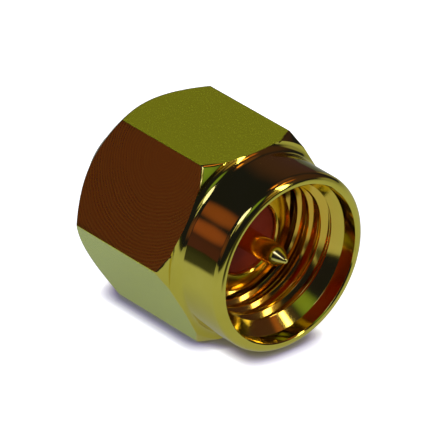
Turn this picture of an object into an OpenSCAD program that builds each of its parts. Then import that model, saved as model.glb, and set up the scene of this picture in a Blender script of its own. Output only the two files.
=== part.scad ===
// Coaxial cable plug with a captive hexagonal coupling nut, 1/4-36 thread.
//
// +X runs along the plug's axis, out of the nut's mouth, and +Z is up.
// The origin is on the axis, in the reference plane: the ferrule's front face.
// The plug lies on one flat of the nut's hexagon. All sizes are in millimetres.

/* [Nut outside] */
// Width across the flats of the hexagon
hex_af = 8.0; // [7.6:0.1:10]
// Length of the hexagon's corner edges, between the two end chamfers
hex_edge_length = 4.87; // [4:0.05:6]
// Distance of the hexagon's front corners behind the reference plane
hex_setback = 0.2; // [0:0.05:0.5]
// Diameter where the front chamfer meets the neck's fillet
neck_d = 8.26; // [7.9:0.02:8.6]
// Diameter of the flat end face inside the rear chamfer
rear_face_d = 7.78; // [7:0.02:8]
// Outside diameter of the round collar
collar_d = 7.7; // [7.4:0.05:8.2]
// Distance of the mouth ahead of the reference plane
mouth_reach = 2.65; // [2.4:0.05:3.4]
// Rounding of the collar's outer front edge
collar_round = 0.35; // [0.1:0.05:0.4]

/* [Nut inside] */
// Diameter of the smooth counterbore ahead of the thread
counterbore_d = 6.8; // [6.6:0.05:7]
// Depth of the counterbore from the mouth
counterbore_depth = 0.7; // [0.4:0.05:1.2]
// Bevel round the counterbore's mouth
mouth_bevel = 0.05; // [0:0.01:0.1]
// Length of the sloping shoulder between the counterbore and the thread
shoulder_length = 0.08; // [0:0.02:0.3]
// Major diameter of the coupling thread
thread_major_d = 6.35; // [6:0.05:6.6]
// Minor diameter of the coupling thread, where the bore's wall is drawn
thread_minor_d = 5.7; // [5.6:0.02:5.8]
// Distance of the thread's inner end behind the reference plane
thread_end = 2.2; // [2:0.05:3]
// Distance of the nut's inner web behind the reference plane
web_front = 3.5; // [3.4:0.05:4]
// Bevel round the rear bore's end
rear_bevel = 0.15; // [0:0.05:0.3]

/* [Plug body] */
// Outside diameter of the ferrule, which is the outer contact
ferrule_d = 4.6; // [4.4:0.02:5.6]
// Length of the ferrule ahead of the flange
ferrule_length = 2.5; // [2.2:0.05:2.7]
// Bevel of the ferrule's outer front edge
ferrule_bevel = 0.08; // [0:0.01:0.15]
// Diameter of the body's front bore, which holds the insulator
front_bore_d = 3.1; // [2.6:0.05:3.8]
// Bevel round the front bore's mouth
front_bore_bevel = 0.06; // [0:0.01:0.15]
// Thickness of the flange behind the ferrule
flange_length = 0.8; // [0.5:0.05:0.9]
// Outside diameter of the body behind the flange
tail_d = 5.0; // [4.8:0.05:5.4]
// Length of the body that stands out behind the nut
tail_reach = 1.4; // [0.5:0.1:4]
// Bevel of the tail's outer end
tail_bevel = 0.12; // [0:0.02:0.3]
// Outside diameter of the cable's jacket
cable_d = 3.58; // [3:0.02:4]
// Depth of the cable bore
cable_bore_length = 2.2; // [1.5:0.1:3]
// Bevel round the cable bore's end
cable_bevel = 0.1; // [0:0.02:0.3]

/* [Insulator and centre contact] */
// Depth of the insulator's face behind the reference plane
insulator_recess = 0.2; // [0:0.05:0.5]
// Diameter of the contact's pin
pin_d = 0.92; // [0.9:0.01:1.2]
// Distance of the pin's tip ahead of the reference plane
pin_reach = 2.35; // [1.8:0.05:2.6]
// Length of the pin's tapered end
pin_taper = 0.6; // [0.4:0.05:1.3]
// Radius of the pin's tip
pin_tip_r = 0.15; // [0.05:0.01:0.3]
// Diameter of the contact inside the insulator
shank_d = 1.28; // [1.2:0.02:1.7]
// Thickness of the insulator's lip ahead of the shank
lip_length = 0.15; // [0.05:0.05:0.2]
// Diameter of the groove in the shank that the insulator grips
grip_d = 1.0; // [0.8:0.02:1.1]
// Length of that groove
grip_length = 0.6; // [0.3:0.1:1]
// Distance of that groove behind the shank's front end
grip_setback = 0.9; // [0.5:0.1:1.5]
// Diameter of the cable's centre conductor
conductor_d = 0.92; // [0.8:0.01:1]
// Depth of the socket for the centre conductor
socket_depth = 2.0; // [1:0.1:3]
// Length of the slots that split the socket into fingers
slot_length = 1.3; // [0.5:0.1:2]
// Distance of the shank's end ahead of the insulator's rear face
shank_setback = 0.1; // [0.05:0.05:0.5]
// Width of the slots that split the socket into fingers
slot_width = 0.15; // [0.1:0.01:0.25]

/* [Retaining ring] */
// Distance of the ring's middle behind the reference plane
ring_setback = 4.4; // [4.2:0.05:5]
// Width of the ring along the axis
ring_width = 0.6; // [0.4:0.05:0.8]
// Radial thickness of the ring
ring_thickness = 0.55; // [0.4:0.01:0.6]
// Depth that the ring's inner edge sits below the tail's surface
ring_seat = 0.18; // [0.1:0.02:0.3]
// Gap between the ring's ends
ring_gap = 1.0; // [0.5:0.1:2]

/* [Clearances] */
// Radial clearance between the tail and the nut's rear bore
turning_clearance = 0.05; // [0.01:0.01:0.1]
// Radial clearance between the flange and the thread it is put in through
flange_clearance = 0.1; // [0.02:0.01:0.2]
// Axial clearance on each side of the ring in the body's groove
ring_clearance = 0.03; // [0.01:0.01:0.1]
// Axial clearance on each side of the ring in the nut's groove
ring_play = 0.12; // [0.05:0.01:0.25]
// Radial clearance between the ring and the floor of the nut's groove
ring_top_clearance = 0.08; // [0.02:0.01:0.2]
// Radial clearance between the cable's jacket and its bore
cable_clearance = 0.04; // [0.01:0.01:0.05]
// Radial clearance between the centre conductor and its socket
conductor_clearance = 0.015; // [0.005:0.005:0.05]
// Radial clearance round the socket's fingers
finger_clearance = 0.1; // [0.02:0.01:0.2]

/* [Hidden] */
$fn = 96;

// Colours
gold = [0.80, 0.66, 0.26];
spring_bronze = [0.72, 0.50, 0.24];
dark_red = [0.34, 0.07, 0.05];

// Sizes that follow from the ones above
hex_corner_r = hex_af / 2 / cos(30);
hex_rear_x = -hex_setback - hex_edge_length;
nut_rear_x = hex_rear_x - (hex_corner_r - rear_face_d / 2);
neck_x = -hex_setback + (hex_corner_r - neck_d / 2);
neck_fillet = (neck_d - collar_d) / 2;
thread_front_x = mouth_reach - counterbore_depth - shoulder_length;
relief_d = thread_major_d + 0.15;
relief_slope = (relief_d - thread_minor_d) / 2;

flange_d = thread_minor_d - 2 * flange_clearance;
rear_bore_d = tail_d + 2 * turning_clearance;
tail_x = nut_rear_x - tail_reach;
cable_bore_d = cable_d + 2 * cable_clearance;
cable_stop_x = tail_x + cable_bore_length;

ring_in_d = tail_d - 2 * ring_seat;
ring_out_d = ring_in_d + 2 * ring_thickness;
nut_groove_d = ring_out_d + 2 * ring_top_clearance;
// the closed ring passes the rear bore with its inner edge in the body's groove
body_groove_d = rear_bore_d - 2 * ring_thickness;

taper_x = pin_reach - pin_taper;
tip_x = pin_reach - pin_tip_r;
taper_angle = atan2(pin_d / 2, tip_x - taper_x)
    - asin(pin_tip_r / norm([pin_d / 2, tip_x - taper_x]));
shank_x = -insulator_recess - lip_length;
grip_x = shank_x - grip_setback;
shank_end_x = cable_stop_x + shank_setback;
socket_d = conductor_d + 2 * conductor_clearance;
socket_x = shank_end_x + socket_depth;
socket_floor_angle = 31;
finger_x = shank_end_x + slot_length + finger_clearance;
// how far a cut runs past the face that it opens
over = 0.5;

// Revolves a profile of [radius, x] round the plug's axis
module turned() {
    rotate([0, 90, 0]) rotate_extrude() children();
}

// A stretch of round bar along the axis, from x0 to x1
module bar(d, x0, x1) {
    turned() translate([0, x0]) square([d / 2, x1 - x0]);
}

// Outside of the hexagon: six flats, both ends chamfered at 45 degrees,
// and a concave neck that runs from the front chamfer down to the collar
module hexagon() {
    intersection() {
        translate([nut_rear_x, 0, 0]) rotate([0, 90, 0])
            linear_extrude(height = neck_x + neck_fillet - nut_rear_x)
            rotate(30) circle(r = hex_corner_r, $fn = 6);
        turned() difference() {
            polygon([
                [0, nut_rear_x],
                [rear_face_d / 2, nut_rear_x],
                [hex_corner_r + over, hex_rear_x + over],
                [hex_corner_r + over, -hex_setback - over],
                [neck_d / 2, neck_x],
                [neck_d / 2, neck_x + neck_fillet],
                [0, neck_x + neck_fillet]
            ]);
            translate([neck_d / 2, neck_x + neck_fillet]) circle(r = neck_fillet);
        }
    }
}

// Round collar with a rounded front edge
module collar() {
    turned() {
        translate([0, neck_x]) square([collar_d / 2, mouth_reach - collar_round - neck_x]);
        translate([0, neck_x]) square([collar_d / 2 - collar_round, mouth_reach - neck_x]);
        translate([collar_d / 2 - collar_round, mouth_reach - collar_round])
            circle(r = collar_round);
    }
}

// Everything that is cut from the nut's inside, from the mouth to the rear end
module nut_bore() {
    turned() polygon([
        [0, mouth_reach + over],
        [counterbore_d / 2 + mouth_bevel + over, mouth_reach + over],
        [counterbore_d / 2, mouth_reach - mouth_bevel],
        [counterbore_d / 2, mouth_reach - counterbore_depth],
        [thread_minor_d / 2, thread_front_x],
        [thread_minor_d / 2, -thread_end],
        [relief_d / 2, -thread_end - relief_slope],
        [relief_d / 2, -web_front],
        [rear_bore_d / 2, -web_front],
        [rear_bore_d / 2, nut_rear_x + rear_bevel],
        [rear_bore_d / 2 + rear_bevel + over, nut_rear_x - over],
        [0, nut_rear_x - over]
    ]);
    bar(nut_groove_d,
        -ring_setback - ring_width / 2 - ring_play,
        -ring_setback + ring_width / 2 + ring_play);
}

// Coupling nut: hexagon and collar, bored right through
module coupling_nut() {
    color(gold) difference() {
        union() {
            hexagon();
            collar();
        }
        nut_bore();
    }
}

// Open spring ring that sits in the body's groove and in the nut's
module retaining_ring() {
    color(spring_bronze) difference() {
        bar(ring_out_d, -ring_setback - ring_width / 2, -ring_setback + ring_width / 2);
        bar(ring_in_d, -ring_setback - ring_width, -ring_setback + ring_width);
        translate([-ring_setback - ring_width, -ring_gap / 2, 0])
            cube([2 * ring_width, ring_gap, ring_out_d]);
    }
}

// Ferrule, flange and tail, turned from one bar and bored right through
module plug_body() {
    color(gold) difference() {
        turned() polygon([
            [0, 0],
            [ferrule_d / 2 - ferrule_bevel, 0],
            [ferrule_d / 2, -ferrule_bevel],
            [ferrule_d / 2, -ferrule_length],
            [flange_d / 2, -ferrule_length],
            [flange_d / 2, -ferrule_length - flange_length],
            [tail_d / 2, -ferrule_length - flange_length],
            [tail_d / 2, -ring_setback + ring_width / 2 + ring_clearance],
            [body_groove_d / 2, -ring_setback + ring_width / 2 + ring_clearance],
            [body_groove_d / 2, -ring_setback - ring_width / 2 - ring_clearance],
            [tail_d / 2, -ring_setback - ring_width / 2 - ring_clearance],
            [tail_d / 2, tail_x + tail_bevel],
            [tail_d / 2 - tail_bevel, tail_x],
            [0, tail_x]
        ]);
        turned() polygon([
            [0, over],
            [front_bore_d / 2 + front_bore_bevel + over, over],
            [front_bore_d / 2, -front_bore_bevel],
            [front_bore_d / 2, cable_stop_x],
            [cable_bore_d / 2, cable_stop_x],
            [cable_bore_d / 2, tail_x + cable_bevel],
            [cable_bore_d / 2 + cable_bevel + over, tail_x - over],
            [0, tail_x - over]
        ]);
    }
}

// Bead that fills the front bore and holds the contact by its shank
module insulator() {
    color(dark_red) difference() {
        bar(front_bore_d, cable_stop_x, -insulator_recess);
        bar(pin_d, shank_x - over, over);
        bar(grip_d, grip_x - grip_length - over, grip_x + over);
        bar(shank_d, grip_x, shank_x);
        bar(shank_d, cable_stop_x - over, grip_x - grip_length);
        bar(shank_d + 2 * finger_clearance, cable_stop_x - over, finger_x);
    }
}

// Pin with a tapered, rounded tip, on a thicker shank with a groove that the
// insulator grips and a socket split into four spring fingers
module centre_contact() {
    color(gold) difference() {
        turned() {
            polygon([
                [0, shank_end_x],
                [shank_d / 2, shank_end_x],
                [shank_d / 2, grip_x - grip_length],
                [grip_d / 2, grip_x - grip_length],
                [grip_d / 2, grip_x],
                [shank_d / 2, grip_x],
                [shank_d / 2, shank_x],
                [pin_d / 2, shank_x],
                [pin_d / 2, taper_x],
                [pin_tip_r * cos(taper_angle), tip_x + pin_tip_r * sin(taper_angle)],
                [0, tip_x + pin_tip_r * sin(taper_angle)]
            ]);
            intersection() {
                translate([0, tip_x]) circle(r = pin_tip_r);
                translate([0, tip_x]) square(pin_tip_r);
            }
        }
        turned() polygon([
            [0, shank_end_x - over],
            [socket_d / 2, shank_end_x - over],
            [socket_d / 2, socket_x],
            [0, socket_x + socket_d / 2 * tan(socket_floor_angle)]
        ]);
        for (side = [0, 90])
            rotate([side, 0, 0])
                translate([shank_end_x - over, -slot_width / 2, -shank_d])
                cube([slot_length + over, slot_width, 2 * shank_d]);
    }
}

coupling_nut();
retaining_ring();
plug_body();
insulator();
centre_contact();
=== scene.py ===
"""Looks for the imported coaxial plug: coupling nut, retaining ring, body, insulator and contact.

Everything is in metres in the part's own frame: +X along the axis, out of the mouth, +Z up, and
the origin in the reference plane. Lengths below are in millimetres, and MM makes them metres.
"""

import math

import bmesh
import bpy
from mathutils import Matrix, Vector


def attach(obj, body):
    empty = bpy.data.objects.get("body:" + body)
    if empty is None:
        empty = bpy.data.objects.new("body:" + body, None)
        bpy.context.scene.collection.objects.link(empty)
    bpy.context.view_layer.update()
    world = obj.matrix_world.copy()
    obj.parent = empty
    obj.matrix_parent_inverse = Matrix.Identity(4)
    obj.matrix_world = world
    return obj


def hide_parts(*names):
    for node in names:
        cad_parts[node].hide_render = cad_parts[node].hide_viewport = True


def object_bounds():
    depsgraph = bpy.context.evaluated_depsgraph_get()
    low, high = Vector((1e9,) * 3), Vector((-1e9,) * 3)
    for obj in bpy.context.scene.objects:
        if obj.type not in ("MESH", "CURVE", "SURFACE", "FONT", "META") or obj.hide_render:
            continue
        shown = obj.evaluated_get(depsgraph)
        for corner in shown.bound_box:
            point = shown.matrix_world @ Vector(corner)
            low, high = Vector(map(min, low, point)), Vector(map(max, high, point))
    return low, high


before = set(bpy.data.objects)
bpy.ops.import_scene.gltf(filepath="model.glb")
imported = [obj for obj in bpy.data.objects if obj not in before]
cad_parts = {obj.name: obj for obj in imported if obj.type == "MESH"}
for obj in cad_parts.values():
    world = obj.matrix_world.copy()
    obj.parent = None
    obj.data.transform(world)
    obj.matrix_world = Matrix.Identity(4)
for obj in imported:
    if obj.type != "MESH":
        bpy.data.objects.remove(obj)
cad_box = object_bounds()
MM = 0.001

# ------------------------------------------------------------------ sizes in mm
# as in the CAD, but for the neck's larger fillet, the rounding of edges and the thread's helix

# coupling nut, outside: hexagon, neck, collar and mouth
HEX_AF = 8.0
HEX_R = HEX_AF / 2 / math.cos(math.radians(30))
HEX_FRONT, HEX_REAR = -0.2, -5.07
REAR_FACE_R = 3.89
NUT_REAR = HEX_REAR - (HEX_R - REAR_FACE_R)
NECK_R, COLLAR_R, COLLAR_ROUND = 4.26, 3.85, 0.35
NECK_FILLET = NECK_R - COLLAR_R
NECK_X = HEX_FRONT + HEX_R - NECK_R
NECK_FOOT = NECK_X + NECK_FILLET
MOUTH, MOUTH_BEVEL = 2.65, 0.05
COLLAR_X = MOUTH - 1.2  # a point on the collar

# coupling nut, inside: counterbore, thread, relief, web, rear bore and the ring's groove
COUNTERBORE_R, COUNTERBORE_X = 3.4, 1.95
MINOR_R, MAJOR_R, PITCH = 2.85, 3.175, 0.7056
THREAD_FRONT, THREAD_END = 1.75, -2.2
RELIEF_R, RELIEF_SLOPE, WEB_X = 3.25, 0.4, -3.5
REAR_BORE_R, REAR_BEVEL = 2.55, 0.15
GROOVE_R, GROOVE_X0, GROOVE_X1 = 2.95, -4.82, -3.98

# plug body
FERRULE_R, FERRULE_LEN, FERRULE_BEVEL = 2.3, 2.5, 0.08
FLANGE_R, FLANGE_LEN = 2.75, 0.8
FLANGE_X = -FERRULE_LEN - FLANGE_LEN
TAIL_R, TAIL_BEVEL, TAIL_X = 2.5, 0.12, NUT_REAR - 1.4
FRONT_BORE_R, FRONT_BEVEL = 1.55, 0.06
CABLE_BORE_R, CABLE_BEVEL, CABLE_STOP = 1.83, 0.1, TAIL_X + 2.2
BODY_GROOVE_R, BODY_GROOVE_X0, BODY_GROOVE_X1 = 2.0, -4.73, -4.07

# retaining ring
RING_R0, RING_R1, RING_X, RING_W, RING_GAP = 2.32, 2.87, -4.4, 0.6, 1.0
RING_ROUND = 0.06

# insulator and centre contact
BEAD_X = -0.2
PIN_R, PIN_TIP_X, PIN_TIP_R, TAPER_X = 0.46, 2.35, 0.15, 1.75
SHANK_R, SHANK_X, GRIP_R, GRIP_X0, GRIP_X1 = 0.64, -0.35, 0.5, -1.85, -1.25
SHANK_END = CABLE_STOP + 0.1
SOCKET_R, SOCKET_X, SOCKET_CONE = 0.475, SHANK_END + 2.0, math.radians(31)
SLOT_X, SLOT_W = SHANK_END + 1.3, 0.15
FINGER_R, FINGER_X = 0.74, SHANK_END + 1.4

# ------------------------------------------------------------------ fineness of the meshes

# mm: an edge shorter than this isn't rounded
TINY = 1e-6
# metres: points this close become one, and shorter edges are dissolved
WELD, DEGENERATE = 3e-7, 1e-8
# segments of one rounding
EDGE_SEGS, NECK_SEGS, LIP_SEGS, NOSE_SEGS, PIN_SEGS = 4, 8, 10, 10, 6
# degrees between the nut's columns of points, and the closer ones on each side of a corner
TURN_STEP, CORNER_STEP, CORNER_STEPS = 1.25, 0.1, 6
# steps round the axis
BODY_STEPS, BEAD_STEPS, PIN_STEPS, RING_STEPS = 160, 128, 96, 150
# degrees: a steeper edge stays sharp
SHARP, PIN_SHARP, RING_SHARP = 35, 32, 40
# radians that the slots stand off the mesh's own columns
OFF_COLUMN = 0.01

# ------------------------------------------------------------------ mesh helpers


def fillet(corners, segs=EDGE_SEGS, closed=True, share=0.49):
    """Rounds the corners of a profile. A corner is (x, r, radius), and a radius of 0 leaves it
    sharp. A rounded one becomes segs + 1 points, and takes at most this share of its edges."""
    out, n = [], len(corners)
    for i, (x, r, radius) in enumerate(corners):
        if not radius or (not closed and i in (0, n - 1)):
            out.append((x, r))
            continue
        p = Vector((x, r))
        a, b = Vector(corners[i - 1][:2]) - p, Vector(corners[(i + 1) % n][:2]) - p
        la, lb = a.length, b.length
        if min(la, lb) < TINY:
            out += [tuple(p)] * (segs + 1)
            continue
        a, b = a / la, b / lb
        half = a.angle(b) / 2
        cut = min(radius / math.tan(half), la * share, lb * share)
        centre = p + (a + b).normalized() * (cut / math.cos(half))
        s, e = p + a * cut - centre, p + b * cut - centre
        turn = math.atan2(s.x * e.y - s.y * e.x, s.dot(e))
        for j in range(segs + 1):
            t = turn * j / segs
            out.append(tuple(centre + Vector((s.x * math.cos(t) - s.y * math.sin(t),
                                              s.x * math.sin(t) + s.y * math.cos(t)))))
    return out


def clean(mesh):
    """Welds the mesh, points its faces outwards and makes them smooth."""
    bm = bmesh.new()
    bm.from_mesh(mesh)
    bmesh.ops.remove_doubles(bm, verts=bm.verts, dist=WELD)
    bmesh.ops.dissolve_degenerate(bm, edges=bm.edges, dist=DEGENERATE)
    bmesh.ops.recalc_face_normals(bm, faces=bm.faces)
    bm.to_mesh(mesh)
    bm.free()
    mesh.polygons.foreach_set("use_smooth", [True] * len(mesh.polygons))


def place(name, data):
    """A new object in the scene."""
    o = bpy.data.objects.new(name, data)
    bpy.context.scene.collection.objects.link(o)
    return o


def make_object(name, verts, faces, slots):
    """A mesh object from points in mm and a material index for each face."""
    mesh = bpy.data.meshes.new(name)
    mesh.from_pydata([(x * MM, y * MM, z * MM) for x, y, z in verts], [], faces)
    mesh.polygons.foreach_set("material_index", slots)
    clean(mesh)
    return place(name, mesh)


def apply_modifiers(o):
    bpy.context.view_layer.update()
    deps = bpy.context.evaluated_depsgraph_get()
    mesh = bpy.data.meshes.new_from_object(
        o.evaluated_get(deps), preserve_all_data_layers=True, depsgraph=deps)
    o.modifiers.clear()
    o.data = mesh


def subtract(o, cutters):
    """Takes the cutters away from the piece, and deletes them."""
    for c in cutters:
        m = o.modifiers.new("cut", "BOOLEAN")
        m.operation, m.solver, m.object = "DIFFERENCE", "EXACT", c
    apply_modifiers(o)
    for c in cutters:
        bpy.data.objects.remove(c)
    clean(o.data)


def weight_normals(o, on_edge=None):
    """Area-weighted normals. Edges above the sharp angle stay sharp, and so do those where
    on_edge, a test for a face's middle, holds on one side only."""
    o.data.set_sharp_from_angle(angle=math.radians(SHARP))
    if on_edge:
        bm = bmesh.new()
        bm.from_mesh(o.data)
        inside = [on_edge(f.calc_center_median()) for f in bm.faces]
        bm.faces.index_update()
        for e in bm.edges:
            if len({inside[f.index] for f in e.link_faces}) > 1:
                e.smooth = False
        bm.to_mesh(o.data)
        bm.free()
    m = o.modifiers.new("normals", "WEIGHTED_NORMAL")
    m.mode, m.weight, m.keep_sharp = "FACE_AREA", 50, True
    apply_modifiers(o)


def grid(columns, turns, slot):
    """Points and faces of closed profiles, one at each angle. slot gives a face's material index
    from its segment of the profile and its angle."""
    verts, faces, index = [], [], []
    m = len(columns[0])
    for t, column in zip(turns, columns):
        c, s = math.cos(t), math.sin(t)
        verts += [(x, r * c, r * s) for x, r in column]
    for i in range(len(columns) - 1):
        for j in range(m):
            k = (j + 1) % m
            faces.append([i * m + j, i * m + k, (i + 1) * m + k, (i + 1) * m + j])
            index.append(slot(j, (turns[i] + turns[i + 1]) / 2))
    return verts, faces, index


def turned(name, profile, n):
    """A solid of revolution from a closed profile of (x, r), in n steps."""
    turns = [2 * math.pi * i / n for i in range(n + 1)]
    o = make_object(name, *grid([profile] * (n + 1), turns, lambda j, t: 0))
    weight_normals(o)
    return o


# ------------------------------------------------------------------ coupling nut

FLATS, TURNED, INSIDE, SHEEN_FLATS = 0, 1, 2, 3  # its material slots
CORNER_ROUND = 0.07
NEAR = 0.002                      # mm: closer than this counts as touching
SIXTH = math.radians(60)          # a sixth of a turn, which is one flat
MID_FACE_R = REAR_FACE_R - 0.6    # where the outside's profile starts on the rear face
LEAD_R = COUNTERBORE_R - COUNTERBORE_X  # the 45 degree cone into the thread: r = x + LEAD_R
LEAD_END, LEAD_SPARE = 1.3, 0.02  # how far back and forward the cone's cutter goes

# the helix: its ridge passes HELIX_X at the angle HELIX_TURN (0 is +Y, a quarter turn is +Z)
HELIX_X, HELIX_TURN = 1.09, math.radians(10)
SPARE_TURNS = 2                   # turns beyond each end of the thread, all flattened onto it

# one turn of the thread, as (share of the pitch, share of the depth): 0 is the ridge, 1 the root
THREAD_FORM = [(-0.5, 1), (-0.41, 1), (-0.385, 0.97), (-0.37, 0.91), (-0.145, 0.06),
               (-0.13, 0.015), (-0.115, 0), (0.115, 0), (0.13, 0.015), (0.145, 0.06),
               (0.37, 0.91), (0.385, 0.97), (0.41, 1)]


def hex_radius(t):
    """Distance from the axis to the hexagon, whose corners are rounded, at the angle t."""
    d = (t + SIXTH / 2) % SIXTH - SIXTH / 2
    c = HEX_R - CORNER_ROUND / math.sin(SIXTH)
    edge = CORNER_ROUND / math.tan(SIXTH)
    limit = math.atan2(edge * math.sin(SIXTH), HEX_R - edge * math.cos(SIXTH))
    if abs(d) < limit:
        return c * math.cos(d) + math.sqrt(CORNER_ROUND ** 2 - (c * math.sin(d)) ** 2)
    return HEX_AF / 2 / math.cos(SIXTH / 2 - abs(d))


def thread_depth(u):
    """Depth at u pitches from the ridge's middle."""
    u = (u + 0.5) % 1 - 0.5
    form = THREAD_FORM + [(0.5, 1)]
    for (a, da), (b, db) in zip(form, form[1:]):
        if a <= u <= b:
            return da + (db - da) * (u - a) / (b - a)
    return 1.0


def thread_profile(t):
    """The thread's points from its front to its end at the angle t. The ridge moves forward
    with t, which makes the thread right-handed."""
    ridge = HELIX_X + (t - HELIX_TURN) / (2 * math.pi) * PITCH
    count = math.ceil((THREAD_FRONT - THREAD_END) / PITCH) + 2 * SPARE_TURNS
    start = round((THREAD_FRONT - HELIX_X) / PITCH) + SPARE_TURNS
    out = []
    for k in range(count):
        for u, _ in reversed(THREAD_FORM):
            x = min(THREAD_FRONT, max(THREAD_END, ridge + (start - k + u) * PITCH))
            out.append((x, MINOR_R + (MAJOR_R - MINOR_R) * thread_depth((x - ridge) / PITCH)))
    return out


def neck_point(a):
    """A point of the fillet between hexagon and collar, at the angle a round its centre."""
    return NECK_FOOT + NECK_FILLET * math.cos(a), NECK_R + NECK_FILLET * math.sin(a)


def nut_column(t):
    """Closed profile of the nut at the angle t, with a material index for each segment."""
    r = hex_radius(t)
    drop = HEX_R - r
    if r > NECK_R + NEAR:
        # near a corner, a 45 degree chamfer lies between the flat and the neck's fillet
        arc0 = math.pi
        front, neck = (HEX_FRONT + drop, r), (NECK_X, NECK_R)
    else:
        arc0 = math.pi + math.asin(min(1, (NECK_R - min(r, NECK_R)) / NECK_FILLET))
        front = neck = neck_point(arc0)
    arc = [neck_point(arc0 + (1.5 * math.pi - arc0) * k / NECK_SEGS)
           for k in range(1, NECK_SEGS + 1)]
    head = fillet([(NUT_REAR, MID_FACE_R, 0), (NUT_REAR, REAR_FACE_R, 0.06),
                   (HEX_REAR - drop, r, 0.08), (*front, 0.26), (*neck, 0.04), (*arc[0], 0)],
                  closed=False)[1:-1]
    lip = fillet([(COLLAR_X, COLLAR_R, 0), (MOUTH, COLLAR_R, COLLAR_ROUND),
                  (MOUTH, COUNTERBORE_R + MOUTH_BEVEL, 0.02),
                  (MOUTH - MOUTH_BEVEL, COUNTERBORE_R, 0.02),
                  (COUNTERBORE_X, COUNTERBORE_R, 0.02), (THREAD_FRONT, LEAD_R + THREAD_FRONT, 0),
                  (THREAD_FRONT, MAJOR_R, 0)],
                 LIP_SEGS, closed=False, share=0.9)[:-1]
    back = fillet([(THREAD_END, MINOR_R, 0), (THREAD_END - RELIEF_SLOPE, RELIEF_R, 0.05),
                   (WEB_X, RELIEF_R, 0.08), (WEB_X, REAR_BORE_R, 0.04),
                   (GROOVE_X1, REAR_BORE_R, 0.04), (GROOVE_X1, GROOVE_R, 0.05),
                   (GROOVE_X0, GROOVE_R, 0.05), (GROOVE_X0, REAR_BORE_R, 0.04),
                   (NUT_REAR + REAR_BEVEL, REAR_BORE_R, 0.03),
                   (NUT_REAR, REAR_BORE_R + REAR_BEVEL, 0.03), (NUT_REAR, MID_FACE_R, 0)],
                  closed=False)[1:]
    profile = head + arc + lip + thread_profile(t) + back
    # the flat joins the head's second rounding to its third, and the inside starts with the
    # rounding of the counterbore's inner corner, which has one more point of the lip behind it
    flat = 2 * (EDGE_SEGS + 1) - 1
    inside = range(len(head + arc + lip) - (LIP_SEGS + 1) - 1, len(profile) - 1)
    slots = [FLATS if j == flat else INSIDE if j in inside else TURNED
             for j in range(len(profile))]
    return profile, slots


def lead_cutter(turns):
    """The cone that leads into the thread, as a solid with the nut's own columns."""
    front = THREAD_FRONT
    profile = [(front + LEAD_SPARE, 0), (front + LEAD_SPARE, front + LEAD_R),
               (front, front + LEAD_R), (LEAD_END, LEAD_END + LEAD_R), (LEAD_END, 0)]
    return make_object("cutter", *grid([profile] * len(turns), turns, lambda j, t: INSIDE))


def on_lead(p):
    """Whether the point lies on the cone that leads into the thread."""
    x, r = p.x / MM, math.hypot(p.y, p.z) / MM
    return LEAD_END + 0.05 < x < COUNTERBORE_X - 0.01 and abs(r - x - LEAD_R) < NEAR


def build_nut():
    steps = {round(math.radians(k * TURN_STEP), 9) for k in range(int(360 / TURN_STEP) + 1)}
    for corner in range(7):
        for k in range(-CORNER_STEPS, CORNER_STEPS + 1):
            a = math.radians(60 * corner + k * CORNER_STEP)
            if 0 <= a <= 2 * math.pi:
                steps.add(round(a, 9))
    turns = sorted(steps)
    turns[0], turns[-1] = 0.0, 2 * math.pi
    columns = [nut_column(t) for t in turns]
    slots = columns[0][1]

    def slot(j, t):
        """Every second flat, the top one among them, gets the greener, partly diffuse copy of the
        milled gold, whose colour is a painted sheen.
        """
        return SHEEN_FLATS if slots[j] == FLATS and int(t // SIXTH) % 2 else slots[j]

    o = make_object("coupling_nut_mesh", *grid([profile for profile, _ in columns], turns, slot))
    cutter = lead_cutter(turns)
    for m in (milled_flats, turned_gold, inner_gold, sheen_flats):
        o.data.materials.append(m)
        cutter.data.materials.append(m)
    subtract(o, [cutter])
    weight_normals(o, on_lead)
    return o


# ------------------------------------------------------------------ body, insulator, contact, ring


def build_body():
    return turned("plug_body_mesh", fillet([
        (0, FRONT_BORE_R + FRONT_BEVEL, 0.015), (0, FERRULE_R - FERRULE_BEVEL, 0.03),
        (-FERRULE_BEVEL, FERRULE_R, 0.03), (-FERRULE_LEN, FERRULE_R, 0.06),
        (-FERRULE_LEN, FLANGE_R, 0.06), (FLANGE_X, FLANGE_R, 0.06), (FLANGE_X, TAIL_R, 0.06),
        (BODY_GROOVE_X1, TAIL_R, 0.03), (BODY_GROOVE_X1, BODY_GROOVE_R, 0.04),
        (BODY_GROOVE_X0, BODY_GROOVE_R, 0.04), (BODY_GROOVE_X0, TAIL_R, 0.03),
        (TAIL_X + TAIL_BEVEL, TAIL_R, 0.05), (TAIL_X, TAIL_R - TAIL_BEVEL, 0.05),
        (TAIL_X, CABLE_BORE_R + CABLE_BEVEL, 0.03), (TAIL_X + CABLE_BEVEL, CABLE_BORE_R, 0.03),
        (CABLE_STOP, CABLE_BORE_R, 0.05), (CABLE_STOP, FRONT_BORE_R, 0.03),
        (-FRONT_BEVEL, FRONT_BORE_R, 0.015)]), BODY_STEPS)


def build_insulator():
    return turned("insulator_mesh", fillet([
        (BEAD_X, PIN_R, 0.02), (BEAD_X, FRONT_BORE_R, 0.03), (CABLE_STOP, FRONT_BORE_R, 0.05),
        (CABLE_STOP, FINGER_R, 0.03), (FINGER_X, FINGER_R, 0), (FINGER_X, SHANK_R, 0),
        (GRIP_X0, SHANK_R, 0), (GRIP_X0, GRIP_R, 0), (GRIP_X1, GRIP_R, 0), (GRIP_X1, SHANK_R, 0),
        (SHANK_X, SHANK_R, 0), (SHANK_X, PIN_R, 0)]), BEAD_STEPS)


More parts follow.
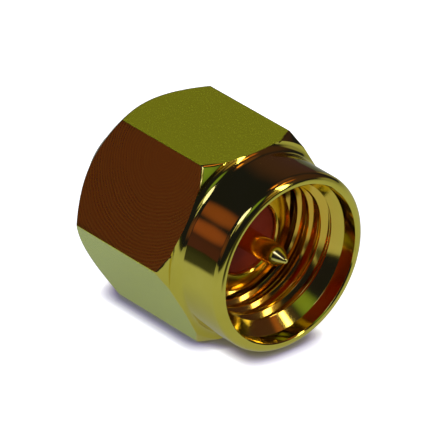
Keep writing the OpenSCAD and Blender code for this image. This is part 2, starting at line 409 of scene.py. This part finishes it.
def slot_cutter(side):
    """A bar through the socket's end, upright or level."""
    spare = 0.5
    length, middle = SLOT_X - SHANK_END + spare, (SLOT_X + SHANK_END - spare) / 2
    bm = bmesh.new()
    bmesh.ops.create_cube(bm, size=1)
    turn = Matrix.Rotation(side * math.pi / 2 + OFF_COLUMN, 4, "X")
    bmesh.ops.transform(bm, verts=bm.verts, matrix=Matrix.Scale(MM, 4) @ turn
                        @ Matrix.Translation((middle, 0, 0))
                        @ Matrix.Diagonal((length, SLOT_W, 3, 1)))
    mesh = bpy.data.meshes.new("cutter")
    bm.to_mesh(mesh)
    bm.free()
    return place("cutter", mesh)


def build_contact():
    """The pin, its shank and the slotted socket. The nose is an arc that the taper runs into."""
    nose_x = PIN_TIP_X - PIN_TIP_R
    a = (math.atan2(PIN_R, nose_x - TAPER_X)
         - math.asin(PIN_TIP_R / math.hypot(PIN_R, nose_x - TAPER_X)))
    nose = [(nose_x + PIN_TIP_R * math.sin(t), PIN_TIP_R * math.cos(t))
            for t in (a + (math.pi / 2 - a) * k / NOSE_SEGS for k in range(NOSE_SEGS))]
    socket_floor = SOCKET_X + SOCKET_R * math.tan(SOCKET_CONE)
    shaft = fillet([(socket_floor, 0, 0), (SOCKET_X, SOCKET_R, 0.05), (SHANK_END, SOCKET_R, 0.03),
                    (SHANK_END, SHANK_R, 0.03), (GRIP_X0, SHANK_R, 0.02), (GRIP_X0, GRIP_R, 0.03),
                    (GRIP_X1, GRIP_R, 0.03), (GRIP_X1, SHANK_R, 0.02), (SHANK_X, SHANK_R, 0.02),
                    (SHANK_X, PIN_R, 0.02), (TAPER_X, PIN_R, 0.5), (*nose[0], 0)],
                   PIN_SEGS, closed=False)[:-1]
    o = turned("centre_contact_mesh", shaft + nose + [(PIN_TIP_X, 0)], PIN_STEPS)
    subtract(o, [slot_cutter(0), slot_cutter(1)])
    o.data.set_sharp_from_angle(angle=math.radians(PIN_SHARP))
    return o


def build_ring():
    """An open ring, with its gap at the top."""
    x0, x1 = RING_X - RING_W / 2, RING_X + RING_W / 2
    section = fillet([(x0, RING_R0, RING_ROUND), (x1, RING_R0, RING_ROUND),
                      (x1, RING_R1, RING_ROUND), (x0, RING_R1, RING_ROUND)])
    half_gap = math.asin(RING_GAP / 2 / RING_R0)
    a0, a1 = math.pi / 2 + half_gap, math.pi / 2 + 2 * math.pi - half_gap
    n, m = RING_STEPS, len(section)
    turns = [a0 + (a1 - a0) * i / n for i in range(n + 1)]
    verts, faces, index = grid([section] * (n + 1), turns, lambda j, t: 0)
    faces += [list(range(m)), [n * m + j for j in range(m)]]
    o = make_object("retaining_ring_mesh", verts, faces, index + [0, 0])
    o.data.set_sharp_from_angle(angle=math.radians(RING_SHARP))
    return o


# ------------------------------------------------------------------ materials

MIX_A, MIX_B, MIX_RESULT = 6, 7, 2  # the colour sockets of the Mix node


class Nodes:
    """Short names for building a material's node tree. x, y, z and point are the place on the
    object, in mm."""

    def __init__(self, name):
        self.mat = bpy.data.materials.new(name)
        self.mat.use_nodes = True
        self.tree = self.mat.node_tree
        self.bsdf = self.tree.nodes["Principled BSDF"]
        split = self.new("ShaderNodeSeparateXYZ")
        self.link(self.new("ShaderNodeTexCoord").outputs["Object"], split.inputs[0])
        self.x, self.y, self.z = (self.mul(axis, 1 / MM) for axis in split.outputs)
        self.point = self.vector(self.x, self.y, self.z)

    def new(self, kind):
        return self.tree.nodes.new(kind)

    def link(self, a, b):
        self.tree.links.new(a, b)

    def fill(self, n, values):
        """Gives each of the node's inputs a link or a plain number."""
        for socket, v in zip(n.inputs, values):
            if hasattr(v, "is_linked"):
                self.link(v, socket)
            else:
                socket.default_value = v
        return n.outputs[0]

    def math(self, op, a, b=0.0):
        n = self.new("ShaderNodeMath")
        n.operation = op
        return self.fill(n, (a, b))

    def plus(self, a, b):
        return self.math("ADD", a, b)

    def minus(self, a, b):
        return self.math("SUBTRACT", a, b)

    def mul(self, a, b):
        return self.math("MULTIPLY", a, b)

    def length(self, a, b):
        return self.math("SQRT", self.plus(self.mul(a, a), self.mul(b, b)))

    def radius(self):
        """Distance from the part's axis."""
        return self.length(self.y, self.z)

    def turn(self):
        """Angle round the part's axis."""
        return self.math("ARCTAN2", self.z, self.y)

    def vector(self, x, y=0.0, z=0.0):
        return self.fill(self.new("ShaderNodeCombineXYZ"), (x, y, z))

    def noise(self, vector, scale, detail, rough):
        n = self.new("ShaderNodeTexNoise")
        n.inputs["Scale"].default_value = scale
        n.inputs["Detail"].default_value = detail
        n.inputs["Roughness"].default_value = rough
        self.link(vector, n.inputs["Vector"])
        return n.outputs["Fac"]

    def span(self, value, ends, to=(0, 1)):
        """Maps the range ends onto the range to, and stops at both."""
        n = self.new("ShaderNodeMapRange")
        self.link(value, n.inputs["Value"])
        for key, v in zip(("From Min", "From Max", "To Min", "To Max"), (*ends, *to)):
            n.inputs[key].default_value = v
        return n.outputs["Result"]

    def ramp(self, value, colours, ends=(0.3, 0.7)):
        """From the first colour at ends[0] to the second at ends[1]."""
        n = self.new("ShaderNodeValToRGB")
        self.link(value, n.inputs["Fac"])
        for element, at, colour in zip(n.color_ramp.elements, ends, colours):
            element.position, element.color = at, (*colour, 1)
        return n.outputs["Color"]

    def bump(self, height, depth, after=None):
        """A bump of this depth in mm, on top of the one before it."""
        n = self.new("ShaderNodeBump")
        n.inputs["Strength"].default_value = 1.0
        n.inputs["Distance"].default_value = depth * MM
        self.link(height, n.inputs["Height"])
        if after is not None:
            self.link(after, n.inputs["Normal"])
        return n.outputs["Normal"]

    def finish(self, colour, rough, normal, metallic=0.0, **constants):
        """Feeds the shader, and returns the material. Plain numbers go onto its own sockets."""
        self.link(colour, self.bsdf.inputs["Base Color"])
        self.link(rough, self.bsdf.inputs["Roughness"])
        self.link(normal, self.bsdf.inputs["Normal"])
        self.bsdf.inputs["Metallic"].default_value = metallic
        for key, v in constants.items():
            self.bsdf.inputs[key.replace("_", " ")].default_value = v
        return self.mat


BOUNCE_END = (-4.4, -3.2)  # towards the rear face, the painted reflection, a redder gold, fades out again


def gold(name, colours, rough, marks, depth, painted_bounce=None):
    """Polished gold plate on turned brass. colours are the two ends of its slow change of
    colour, rough the range of its roughness, marks the scale of its turning marks, per mm, and
    depth their depth in mm. The last argument, ((x0, x1), colour), is a painted reflection: a
    redder gold, full at x0 and gone at x1, for places where gold mostly reflects gold."""
    n = Nodes(name)
    colour = n.ramp(n.noise(n.point, scale=0.7, detail=4, rough=0.6), colours)
    # painted reflection: a redder gold, full at one end of an x range, where gold mostly mirrors
    # gold
    if painted_bounce:
        mix = n.new("ShaderNodeMix")
        mix.data_type = "RGBA"
        n.link(n.mul(n.span(n.x, painted_bounce[0], (1, 0)), n.span(n.x, BOUNCE_END)), mix.inputs["Factor"])
        n.link(colour, mix.inputs[MIX_A])
        mix.inputs[MIX_B].default_value = (*painted_bounce[1], 1)
        colour = mix.outputs[MIX_RESULT]
    lines = n.vector(n.plus(n.x, n.mul(n.radius(), 0.83)), n.mul(n.turn(), 0.03))
    fine = n.noise(lines, scale=marks, detail=3, rough=0.6)
    wide = n.noise(lines, scale=marks * 0.2, detail=2, rough=0.5)
    grain = n.noise(n.point, scale=28, detail=3, rough=0.6)
    worn = n.span(n.plus(n.mul(fine, 0.5), n.mul(grain, 0.5)), (0.3, 0.7), rough)
    turning = n.bump(n.plus(n.mul(fine, 0.6), n.mul(wide, 0.4)), depth)
    return n.finish(colour, worn, n.bump(grain, depth * 0.4, turning), metallic=1.0)


# the end mill's arcs, in mm: their pitch and depth, how far they wander, and their centre. On
# each flat the centre shifts by SHIFT, times the sine or cosine of the flat's angle times SPIN
ARC_PITCH, ARC_DEPTH, ARC_WARP = 0.14, 0.0032, 0.35
ARC_X, ARC_X_SHIFT, ARC_X_SPIN = 1.9, -0.8, 2.3
ARC_Y, ARC_Y_SHIFT, ARC_Y_SPIN = 2.1, 0.5, 1.7


def milled_gold(name, colours, rough, strength, grain, metallic, coat):
    """Gold plate on milled flats: satin, with the end mill's arcs. colours are those of the arcs'
    dark and light lines, rough the range of the roughness, strength that of the arcs, and grain
    the depth in mm of the fine grain."""
    n = Nodes(name)
    flat = n.mul(n.plus(n.math("FLOOR", n.math("DIVIDE", n.turn(), SIXTH)), 0.5), SIXTH)
    sine, cosine = n.math("SINE", flat), n.math("COSINE", flat)
    across = n.minus(n.mul(n.z, cosine), n.mul(n.y, sine))
    shift_x = n.mul(n.math("SINE", n.mul(flat, ARC_X_SPIN)), ARC_X_SHIFT)
    shift_y = n.mul(n.math("COSINE", n.mul(flat, ARC_Y_SPIN)), ARC_Y_SHIFT)
    dist = n.length(n.plus(n.x, n.plus(ARC_X, shift_x)), n.plus(across, n.plus(ARC_Y, shift_y)))
    warp = n.mul(n.noise(n.point, scale=0.8, detail=2, rough=0.5), ARC_WARP)
    wave = n.math("SINE", n.mul(n.plus(dist, warp), 2 * math.pi / ARC_PITCH))
    scratch = n.noise(n.vector(dist, n.mul(flat, 3.0)), scale=16, detail=3, rough=0.7)
    patchy = n.span(n.noise(n.point, scale=0.9, detail=3, rough=0.6), (0.35, 0.65), (0.35, 1.0))
    fading = n.span(dist, (0.8, 2.6), (0.15, 1.0))
    arcs = n.mul(n.plus(n.mul(wave, 0.3), n.minus(scratch, 0.5)),
                 n.mul(n.mul(patchy, fading), strength))
    colour = n.ramp(n.span(arcs, (-0.3, 0.3)), colours, (0.0, 1.0))
    worn = n.plus(arcs, n.noise(n.point, scale=20, detail=3, rough=0.6))
    fine = n.noise(n.point, scale=24, detail=3, rough=0.6)
    return n.finish(colour, n.span(worn, (0.2, 0.8), rough),
                    n.bump(fine, grain, n.bump(arcs, ARC_DEPTH)), metallic,
                    Coat_Weight=coat, Coat_Roughness=0.15)


def dielectric(name, colours):
    """Dark red moulded plastic, with faint rings round the axis."""
    n = Nodes(name)
    colour = n.ramp(n.noise(n.point, scale=1.6, detail=4, rough=0.6), colours)
    worn = n.span(n.noise(n.point, scale=12, detail=3, rough=0.5), (0.3, 0.7), (0.42, 0.55))
    rings = n.noise(n.vector(n.radius(), n.x), scale=14, detail=2, rough=0.5)
    return n.finish(colour, worn, n.bump(rings, 0.0015), Specular_IOR_Level=0.2)


def bronze(name, colours):
    """Drawn spring bronze, a little brushed along the wire."""
    n = Nodes(name)
    colour = n.ramp(n.noise(n.point, scale=0.9, detail=4, rough=0.6), colours)
    worn = n.span(n.noise(n.point, scale=9, detail=3, rough=0.5), (0.3, 0.7), (0.22, 0.34))
    drawn = n.vector(n.x, n.mul(n.radius(), 3), n.mul(n.turn(), 0.1))
    lines = n.noise(drawn, scale=12, detail=3, rough=0.6)
    return n.finish(colour, worn, n.bump(lines, 0.003), metallic=1.0)


PLATE = ((0.78, 0.66, 0.085), (0.83, 0.70, 0.11))
milled_flats = milled_gold("gold_milled", ((0.63, 0.40, 0.042), (0.90, 0.62, 0.070)),
                           rough=(0.27, 0.35), strength=1.0, grain=0.0004, metallic=1.0, coat=0.0)
# painted sheen: a greener, partly diffuse copy of the milled gold, so that the top flat shows an
# olive glow of light
sheen_flats = milled_gold("gold_painted_sheen", ((0.65, 0.74, 0.010), (0.72, 0.82, 0.014)),
                         rough=(0.25, 0.28), strength=0.03, grain=0.00002, metallic=0.72, coat=0.5)
turned_gold = gold("gold_turned", PLATE, rough=(0.06, 0.10), marks=22, depth=0.0005)
# the nut's inside, the body's front and the pin's rear get a painted reflection: a redder gold
# where gold mostly mirrors gold
inner_gold = gold("gold_inside", ((0.84, 0.70, 0.09), (0.90, 0.74, 0.12)),
                  rough=(0.08, 0.13), marks=22, depth=0.0006,
                  painted_bounce=((0.7, 2.4), (0.94, 0.57, 0.07)))
body_gold = gold("gold_body", PLATE, rough=(0.10, 0.15), marks=20, depth=0.0006,
                 painted_bounce=((-2.5, -4.0), (0.90, 0.56, 0.07)))
pin_gold = gold("gold_pin", ((0.88, 0.74, 0.14), (0.92, 0.79, 0.18)),
                rough=(0.12, 0.18), marks=18, depth=0.0003,
                painted_bounce=((1.1, 1.95), (0.97, 0.52, 0.09)))
red_plastic = dielectric("dark_red_dielectric", ((0.21, 0.020, 0.004), (0.26, 0.026, 0.006)))
ring_bronze = bronze("spring_bronze", ((0.40, 0.20, 0.055), (0.52, 0.28, 0.08)))

# ------------------------------------------------------------------ the pieces

for o, mat, node, carrier, slot in (
        (build_nut(), turned_gold, "coupling_nut", "nut", "gold_plate"),
        (build_body(), body_gold, "plug_body", "plug", "gold_plate"),
        (build_insulator(), red_plastic, "insulator", "plug", "dark_red_dielectric"),
        (build_contact(), pin_gold, "centre_contact", "plug", "gold_plate"),
        (build_ring(), ring_bronze, "retaining_ring", "ring", "spring_bronze")):
    if not o.data.materials:
        o.data.materials.append(mat)
    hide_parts(node)
    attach(o, carrier)

# ------------------------------------------------------------------ floor

FLOOR_Z = cad_box[0][2]
FLOOR_HALF = 0.3                     # half its width, in metres
FLOOR_WHITE = (0.80, 0.79, 0.82)     # its colour under the lamps
FLOOR_SHADOW = (0.45, 0.43, 0.51)    # its colour in the deepest contact shadow, for the camera
FLOOR_TINT = (0.81, 1.0, 0.95)       # its tint where the gold mirrors it
CONTACT_SHADE = 0.72                 # mm that the contact shadow reaches
SHADE_POWER = 1.35                   # how quickly it fades
SHADE_GLOW, SHADE_TINT = 2.1, 1.5    # how much of the lift it takes away, less where it is paler
# what lifts the floor to white for the camera, and where it rises to 1, in mm from the origin
CAMERA_LIFT, LIFT_RISE = 0.87, (15, 40)
# brightness of the mirrored floor near the object, what is left of it far away, and where that
# fades, in mm from the origin; this fall of light is painted. Shares of it that glow and that the
# lamps light
MIRROR_NEAR, MIRROR_FAR, MIRROR_FADE = 0.70, 0.65, (16, 70)
GLOSSY_LIFT, GLOSSY_SHARE = 0.33, 0.44
# painted shade on the mirrored floor, in mm: the edge over which each part darkens, by how much,
# and the line across which it starts
AHEAD_EDGE, AHEAD_DARK, AHEAD_SIDE, AHEAD_FAR = (9.5, 13), 0.9, (-6, -4), (32, 55)
BEHIND_EDGE, BEHIND_DARK, BEHIND_SIDE = (9, 13), 0.62, (-4, 3)
LEFT_EDGE, LEFT_DARK, LEFT_SIDE, LEFT_WAY = (16.5, 20.5), 0.88, (-5, -1.5), (-0.67, -0.74)
SIDE_SLOPE = 0.62


def painted_floor_shade(n, away):
    """Painted shade: how much darker the mirrored floor is ahead of the object, behind it and on
    its left.
    """
    x, y = n.x, n.y
    ahead = n.mul(n.span(n.minus(x, n.math("MAXIMUM", y, 0.0)), AHEAD_EDGE, (0, AHEAD_DARK)),
                  n.math("MAXIMUM", n.span(y, AHEAD_SIDE), n.span(away, AHEAD_FAR)))
    behind = n.mul(n.span(y, BEHIND_EDGE, (0, BEHIND_DARK)),
                   n.span(n.plus(x, n.mul(y, SIDE_SLOPE)), BEHIND_SIDE, (1, 0)))
    left = n.plus(n.mul(x, LEFT_WAY[0]), n.mul(y, LEFT_WAY[1]))
    left = n.mul(n.span(left, LEFT_EDGE, (0, LEFT_DARK)),
                 n.span(n.minus(n.mul(y, SIDE_SLOPE), x), LEFT_SIDE))
    return ahead, behind, left


def build_floor():
    """White paper: lit by the lamps, and lifted to plain white where the camera sees it, with a
    cool contact shadow."""
    n = Nodes("floor_white")
    path = n.new("ShaderNodeLightPath")
    glossy, seen = path.outputs["Is Glossy Ray"], path.outputs["Is Camera Ray"]
    away = n.length(n.x, n.y)
    light = n.span(away, MIRROR_FADE, (MIRROR_NEAR, MIRROR_FAR * MIRROR_NEAR))
    # painted shade: the mirrored floor darkens ahead of the object, behind it and on its left
    for dark in painted_floor_shade(n, away):
        light = n.mul(light, n.minus(1.0, dark))
    near = n.new("ShaderNodeAmbientOcclusion")
    near.samples = 24
    near.inputs["Distance"].default_value = CONTACT_SHADE * MM
    open_sky = n.math("POWER", near.outputs["AO"], SHADE_POWER)
    covered = n.minus(1.0, open_sky)
    camera_lift = n.mul(seen, n.span(away, LIFT_RISE, (CAMERA_LIFT, 1.0)))
    glossy_lift = n.mul(n.mul(glossy, light), GLOSSY_LIFT)
    shade, lift = [], []
    for full, tint, shadow in zip(FLOOR_WHITE, FLOOR_TINT, FLOOR_SHADOW):
        camera = n.mul(seen, n.plus(n.mul(open_sky, full - shadow), shadow - full))
        mirror = n.mul(glossy, n.minus(n.mul(light, GLOSSY_SHARE * tint), full))
        shade.append(n.plus(full, n.plus(camera, mirror)))
        left_over = n.minus(1.0, n.mul(covered, SHADE_GLOW - SHADE_TINT * shadow))
        lift.append(n.plus(n.mul(camera_lift, n.math("MAXIMUM", left_over, 0.0)), glossy_lift))
    n.link(n.vector(*shade), n.bsdf.inputs["Base Color"])
    n.bsdf.inputs["Roughness"].default_value = 0.8
    n.bsdf.inputs["Specular IOR Level"].default_value = 0.0
    glow = n.new("ShaderNodeEmission")
    n.link(n.vector(*lift), glow.inputs["Color"])
    both = n.new("ShaderNodeAddShader")
    n.fill(both, (n.bsdf.outputs[0], glow.outputs[0]))
    n.link(both.outputs[0], n.tree.nodes["Material Output"].inputs["Surface"])
    mesh = bpy.data.meshes.new("floor")
    mesh.from_pydata([(FLOOR_HALF * i, FLOOR_HALF * j, FLOOR_Z)
                      for i, j in ((-1, -1), (1, -1), (1, 1), (-1, 1))], [], [(0, 1, 2, 3)])
    mesh.materials.append(n.mat)
    o = place("floor", mesh)


# ------------------------------------------------------------------ world and lamps

ROOM_DARK = (0.011, 0.012, 0.040)
# soft patches in the room, which the gold mirrors: azimuth, elevation, the angles from the
# patch's middle at which it is full and gone, and its colour
ROOM = [
    (-133.5, 18.3, 1, 9, (0.25, 0.058, 0.02)),
    (-141.7, 33.7, 2, 10, (0.22, 0.053, 0.01)),
    (-129, 2, 3, 14, (0.055, 0.010, 0.004)),
    (136, 16, 10, 38, (0.042, 0.013, 0.0)),
    (-13, 49, 5, 16, (0.17, 0.29, 0.06)),
    (23, 30, 4, 12, (0.34, 0.22, 0.07)),
    (25, 8, 3, 11, (0.22, 0.14, 0.04)),
    (-110, 20, 5, 16, (0.11, 0.028, 0.008)),
    (-88, 20, 5, 16, (0.08, 0.026, 0.008)),
    (50, 47, 3, 9, (0.42, 0.11, 0.02)),
    (105, 66, 6, 20, (0.10, 0.035, 0.02)),
    (60, 40, 12, 42, (0.045, 0.014, 0.002)),
    (112, 2, 4, 14, (0.24, 0.24, 0.18)),
    (66, -3, 8, 17, (0.24, 0.25, 0.22)),
    (-50, 43, 3, 11, (0.42, 0.42, 0.38)),
]
# lamps: name, azimuth, elevation, distance, width and height in mm, brightness of the face,
# colour, and whether the gold mirrors it
LAMPS = [
    ("key", -70, 57, 130, (80, 46), 3.4, (0.37, 0.38, 1.0), True),
    ("key_low", -80, 42, 130, (20, 46), 0.6, (0.8, 0.8, 1.0), True),
    ("strip", 29.5, 31, 120, (15, 116), 4.5, (1.0, 0.97, 0.88), True),
    ("warm", 42, 54, 130, (22, 16), 1.6, (1.0, 0.42, 0.10), True),
    ("top_warm", 90, 76, 150, (40, 24), 0.9, (1.0, 0.36, 0.08), True),
    ("overhead", 70, 84, 220, (150, 150), 0.98, (0.88, 1.0, 0.82), False),
    ("front_left", -75, 38, 220, (150, 120), 2.3, (1, 1, 1), False),
    ("front_right", 15, 32, 220, (120, 100), 2.2, (1, 1, 1), False),
    ("back", 140, 40, 220, (150, 120), 1.5, (1, 1, 1), False),
]


def direction(az, el):
    """az runs from +X towards +Y and el up from the floor, both in degrees."""
    a, e = math.radians(az), math.radians(el)
    return Vector((math.cos(a) * math.cos(e), math.sin(a) * math.cos(e), math.sin(e)))


def build_world():
    """A dark room with soft patches of colour, and plain white where the camera sees it."""
    w = bpy.data.worlds.new("studio")
    w.use_nodes = True
    bpy.context.scene.world = w
    new, link = w.node_tree.nodes.new, w.node_tree.links.new
    room = w.node_tree.nodes["Background"]
    way = new("ShaderNodeTexCoord").outputs["Generated"]
    total = new("ShaderNodeRGB").outputs[0]
    total.default_value = (*ROOM_DARK, 1)
    for az, el, inner, outer, colour in ROOM:
        dot = new("ShaderNodeVectorMath")
        dot.operation = "DOT_PRODUCT"
        link(way, dot.inputs[0])
        dot.inputs[1].default_value = direction(az, el)
        span = new("ShaderNodeMapRange")
        span.interpolation_type = "SMOOTHSTEP"
        link(dot.outputs["Value"], span.inputs["Value"])
        span.inputs["From Min"].default_value = math.cos(math.radians(outer))
        span.inputs["From Max"].default_value = math.cos(math.radians(inner))
        add = new("ShaderNodeVectorMath")
        add.operation = "MULTIPLY_ADD"
        link(span.outputs["Result"], add.inputs[0])
        add.inputs[1].default_value = colour
        link(total, add.inputs[2])
        total = add.outputs[0]
    link(total, room.inputs["Color"])
    room.inputs["Strength"].default_value = 1.0
    white = new("ShaderNodeBackground")
    white.inputs["Color"].default_value = (1, 1, 1, 1)
    mix = new("ShaderNodeMixShader")
    link(new("ShaderNodeLightPath").outputs["Is Camera Ray"], mix.inputs[0])
    link(room.outputs[0], mix.inputs[1])
    link(white.outputs[0], mix.inputs[2])
    link(mix.outputs[0], w.node_tree.nodes["World Output"].inputs["Surface"])


def lamp(name, az, el, distance, size, glow, colour, glossy):
    """A soft elliptical lamp that faces the origin."""
    data = bpy.data.lights.new(name, "AREA")
    data.shape = "ELLIPSE"
    data.size, data.size_y = size[0] * MM, size[1] * MM
    data.energy = glow * math.pi * data.size * data.size_y
    data.color = colour
    o = place(name, data)
    o.location = direction(az, el) * distance * MM
    o.rotation_euler = direction(az, el).to_track_quat("Z", "Y").to_euler()
    o.visible_glossy = glossy


build_floor()
build_world()
for values in LAMPS:
    lamp(*values)

# ------------------------------------------------------------------ camera

CAM_AZ, CAM_EL, CAM_ROLL = math.radians(41.5), math.radians(29.4), math.radians(1.4)
CAM_DISTANCE = 250                                   # mm, a long lens
CAM_RIGHT, CAM_UP, CAM_X = -0.885, 0.590, -0.2       # mm off the line through the origin
SENSOR, LENS = 36, 510.8                             # mm


def build_camera():
    """The photograph's direction: from the front left and above, level but for a small roll."""
    back = Vector((math.cos(CAM_AZ) * math.cos(CAM_EL), -math.sin(CAM_AZ) * math.cos(CAM_EL),
                   math.sin(CAM_EL)))
    level = Vector((math.sin(CAM_AZ), math.cos(CAM_AZ), 0))
    upright = back.cross(level)
    right = level * math.cos(CAM_ROLL) + upright * math.sin(CAM_ROLL)
    up = -level * math.sin(CAM_ROLL) + upright * math.cos(CAM_ROLL)
    at = back * CAM_DISTANCE + right * CAM_RIGHT + up * CAM_UP + Vector((CAM_X, 0, 0))
    data = bpy.data.cameras.new("camera")
    data.sensor_width, data.lens = SENSOR, LENS
    data.clip_start, data.clip_end = 0.01, 10
    o = place("camera", data)
    o.matrix_world = Matrix.Translation(at * MM) @ Matrix((right, up, back)).transposed().to_4x4()
    bpy.context.scene.camera = o


build_camera()
bpy.context.scene.view_settings.view_transform = "Standard"
